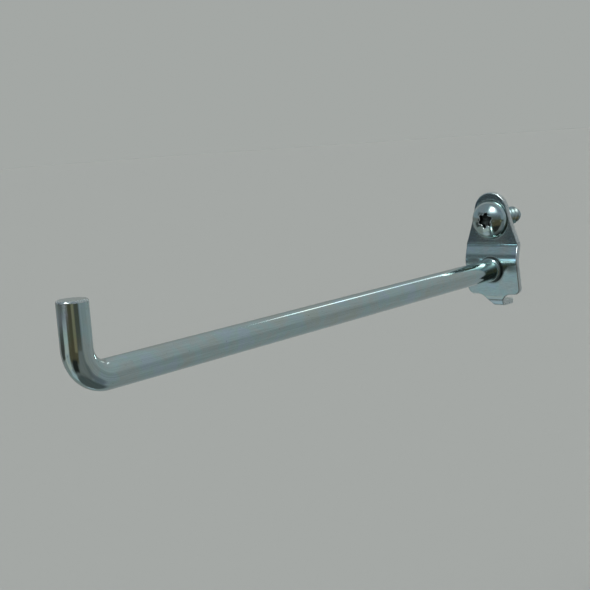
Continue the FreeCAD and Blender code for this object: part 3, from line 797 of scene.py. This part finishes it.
# Zones of the surroundings that the metal mirrors. Each has its azimuths at the top and
# at the foot, its foot and top elevation, its soft edges both ways and its light.
ZONES = (
    ((-92, 94), (-92, 94), -100, 100, (24, 2), (0.29, 0.318, 0.352)),
    ((-85, 94), (-85, 94), -100, -5, (12, 8), (0.17, 0.18, 0.18)),
    ((-122, -2), (-122, -2), -12, 2, (10, 4), (0.225, 0.212, 0.20)),
    ((-62, -8), (-62, -8), -7.0, 1.2, (4, 1.0), (0.035, 0.042, 0.052)),
    ((-65, -8), (-65, -8), 9, 21, (8, 5), (0.13, 0.15, 0.16)),
    ((-29.4, -22), (-29.4, -22), 2, 6, (1.6, 1.5), (1.5, 2.2, 2.5)),
    ((-122, -2), (-130, -22), -60, -20, (10, 6), (0.275, 0.30, 0.29)),
    ((-126, -76), (-126, -76), -24, -7, (6, 4), (0.28, 0.285, 0.28)),
    ((-80, -30), (-80, -38), -22, -8.65, (7, 0.6), (0.07, 0.07, 0.066)),
    ((-36, -2), (-61, -23), -44, -8.15, (10, 0.5), (0.53, 0.55, 0.52)),
    ((-36, -10), (-36, -20), -34, -15, (8, 6), (0.40, 0.45, 0.48)),
    ((-6, 52), (-6, 52), -6, 14, (10, 16), (0.15, 0.15, 0.145)),
    ((-1, 62), (-8, 52), -34, -1, (8, 11), (0.115, 0.098, 0.06)),
    ((16, 34), (16, 40), -26, -5, (14, 4), (0.105, 0.087, 0.054)),
    ((37, 56), (40, 56), -13, -5, (7, 3), (0.265, 0.225, 0.14)),
    ((60, 87), (60, 87), -10.5, -4, (6, 2), (0.088, 0.083, 0.06)),
    ((66, 90), (38, 90), -53, -11, (12, 6), (0.20, 0.21, 0.218)),
    ((88, 106), (88, 108), -52, -11, (12, 8), (0.152, 0.17, 0.18)),
    ((98, 122), (98, 140), -62, -32, (14, 10), (0.17, 0.178, 0.195)),
    ((96, 150), (96, 150), -22, 6, (14, 8), (0.318, 0.328, 0.332)),
    ((8, 44), (-18, 28), -55, -27, (10, 8), (0.026, 0.028, 0.026)),
    ((-200, 200), (-200, 200), -100, -62, (2, 10), (0.10, 0.108, 0.107)),
    ((-76, -34), (-76, -34), -60, -43, (10, 5), (0.47, 0.52, 0.55)),
    ((-126, -107), (-126, -107), -60.4, -53, (6, 1.6), (0.50, 0.56, 0.63)),
    ((-44, 2), (-44, 2), -8.15, -7.5, (8, 0.3), (0.14, 0.12, 0.135)),
    ((-20, 12), (-20, 12), -7.5, -6.9, (12, 0.3), (0.64, 0.56, 0.62)),
    ((-20, 38), (-12, 30), 26, 60, (18, 14), (0.62, 0.66, 0.66)),
    ((-14, 19), (-14, 19), 27, 52, (18, 15), (1.9, 1.95, 1.95)),
    ((-6, 8), (-6, 8), 33, 44, (6, 6), (30.0, 30.5, 30.5)),
)
BACK_ZONES = (
    ((200, 234), (200, 234), -16, 26, (12, 12), (0.31, 0.325, 0.315)),
    ((185, 191), (185, 191), 32.7, 36.5, (3, 1.2), (1.6, 1.7, 1.75)),
    ((185, 191), (185, 191), 35.5, 40.8, (3, 1.2), (2.4, 2.5, 2.55)),
    ((180, 190), (180, 190), 31.2, 32.4, (3, 0.5), (2.8, 2.9, 3.0)),
    ((193, 202), (193, 202), 10, 20, (5, 5), (0.9, 0.92, 0.9)),
)


def make_floor():
    """Plain pale floor, well below the hook. The metal mirrors the studio instead of it."""
    mesh = bpy.data.meshes.new("floor")
    corners = [
        (x * FLOOR_HALF, y * FLOOR_HALF, FLOOR_HEIGHT)
        for x, y in ((-1, -1), (1, -1), (1, 1), (-1, 1))
    ]
    mesh.from_pydata(corners, [], [(0, 1, 2, 3)])
    material = bpy.data.materials.new("floor_paint")
    material.use_nodes = True
    shader = material.node_tree.nodes["Principled BSDF"]
    shader.inputs["Base Color"].default_value = FLOOR_PAINT
    shader.inputs["Roughness"].default_value = 1.0
    shader.inputs["Specular IOR Level"].default_value = 0.0
    mesh.materials.append(material)
    floor = bpy.data.objects.new("floor", mesh)
    bpy.context.scene.collection.objects.link(floor)
    floor.visible_glossy = False


def make_sun():
    """Very soft light from above for the floor."""
    light = bpy.data.lights.new("sun", "SUN")
    light.energy = SUN_ENERGY
    light.angle = SUN_WIDTH
    lamp = bpy.data.objects.new("sun", light)
    lamp.rotation_euler = SUN_TURN
    lamp.visible_glossy = False
    bpy.context.scene.collection.objects.link(lamp)


def zone_mask(tree, azimuth, elevation, zone):
    """How far inside a zone of the surroundings a direction lies, from 0 to 1."""
    top, foot, low, high, (across, upright), _ = zone
    left = maths(tree, "SUBTRACT", azimuth, remap(tree, elevation, low, high, foot[0], top[0]))
    right = maths(tree, "SUBTRACT", remap(tree, elevation, low, high, foot[1], top[1]), azimuth)
    above = maths(tree, "SUBTRACT", elevation, low)
    below = maths(tree, "SUBTRACT", high, elevation)
    mask = 1.0
    for inside, soft in ((left, across), (right, across), (above, upright), (below, upright)):
        share = remap(tree, inside, -soft / 2, soft / 2, 0, 1, interpolation_type="SMOOTHSTEP")
        mask = maths(tree, "MULTIPLY", mask, share)
    return mask


def make_world():
    """Soft studio: an even pale ground for the camera, and panels for the metal to mirror."""
    world = bpy.data.worlds.new("studio")
    bpy.context.scene.world = world
    world.use_nodes = True
    tree = world.node_tree
    tree.nodes.clear()
    direction = add_node(tree, "ShaderNodeTexCoord").outputs["Generated"]
    axes = add_node(tree, "ShaderNodeSeparateXYZ", {0: direction}).outputs
    to_front = maths(tree, "MULTIPLY", axes[1], -1.0)
    azimuth = maths(tree, "DEGREES", maths(tree, "ARCTAN2", axes[0], to_front))
    from_back = maths(tree, "WRAP", azimuth, 360.0)
    elevation = maths(tree, "DEGREES", maths(tree, "ARCSINE", axes[2]))
    share = remap(tree, elevation, -50, 50, 0, 1)
    colour = mix(tree, share, GROUND_BELOW, GROUND_ABOVE)
    for zone in ZONES + BACK_ZONES:
        bearing = from_back if zone in BACK_ZONES else azimuth
        mask = zone_mask(tree, bearing, elevation, zone)
        colour = mix(tree, mask, colour, (*zone[-1], 1))
    seen = add_node(tree, "ShaderNodeLightPath").outputs["Is Camera Ray"]
    shown = mix(tree, seen, colour, (*PALE, 1))
    background = add_node(tree, "ShaderNodeBackground", {"Color": shown, "Strength": 1.0})
    output = add_node(tree, "ShaderNodeOutputWorld")
    tree.links.new(background.outputs[0], output.inputs["Surface"])


def make_camera():
    """A camera with the photograph's view."""
    data = bpy.data.cameras.new("camera")
    data.lens = CAMERA_LENS
    data.sensor_width = CAMERA_SENSOR
    data.clip_start = 0.01
    camera = bpy.data.objects.new("camera", data)
    bpy.context.scene.collection.objects.link(camera)
    turn = Matrix.Rotation(CAMERA_AZIMUTH, 4, "Z")
    tilt = Matrix.Rotation(RIGHT_ANGLE - CAMERA_ELEVATION, 4, "X")
    spin = Matrix.Rotation(CAMERA_ROLL, 4, "Z")
    camera.matrix_world = Matrix.Translation(CAMERA_PLACE) @ turn @ tilt @ spin
    bpy.context.scene.camera = camera


STRAW, STEEL, TEAL, BLUE = (
    (0.475, 0.57, 0.53),
    (0.475, 0.575, 0.57),
    (0.44, 0.60, 0.59),
    (0.455, 0.585, 0.64),
)
PLATING = ((0.34, STRAW), (0.44, STEEL), (0.54, TEAL), (0.64, BLUE))
make_plate(zinc("zinc_plate", (0.6, 8, 8), 0.12, PLATING))
make_arm(zinc("zinc_arm", (9, 9, 0.12), 0.075, PLATING))
make_screw(zinc("zinc_screw", (2, 2, 2), 0.08, PLATING))
make_floor()
make_sun()
make_world()
make_camera()
bpy.context.scene.view_settings.view_transform = "Standard"
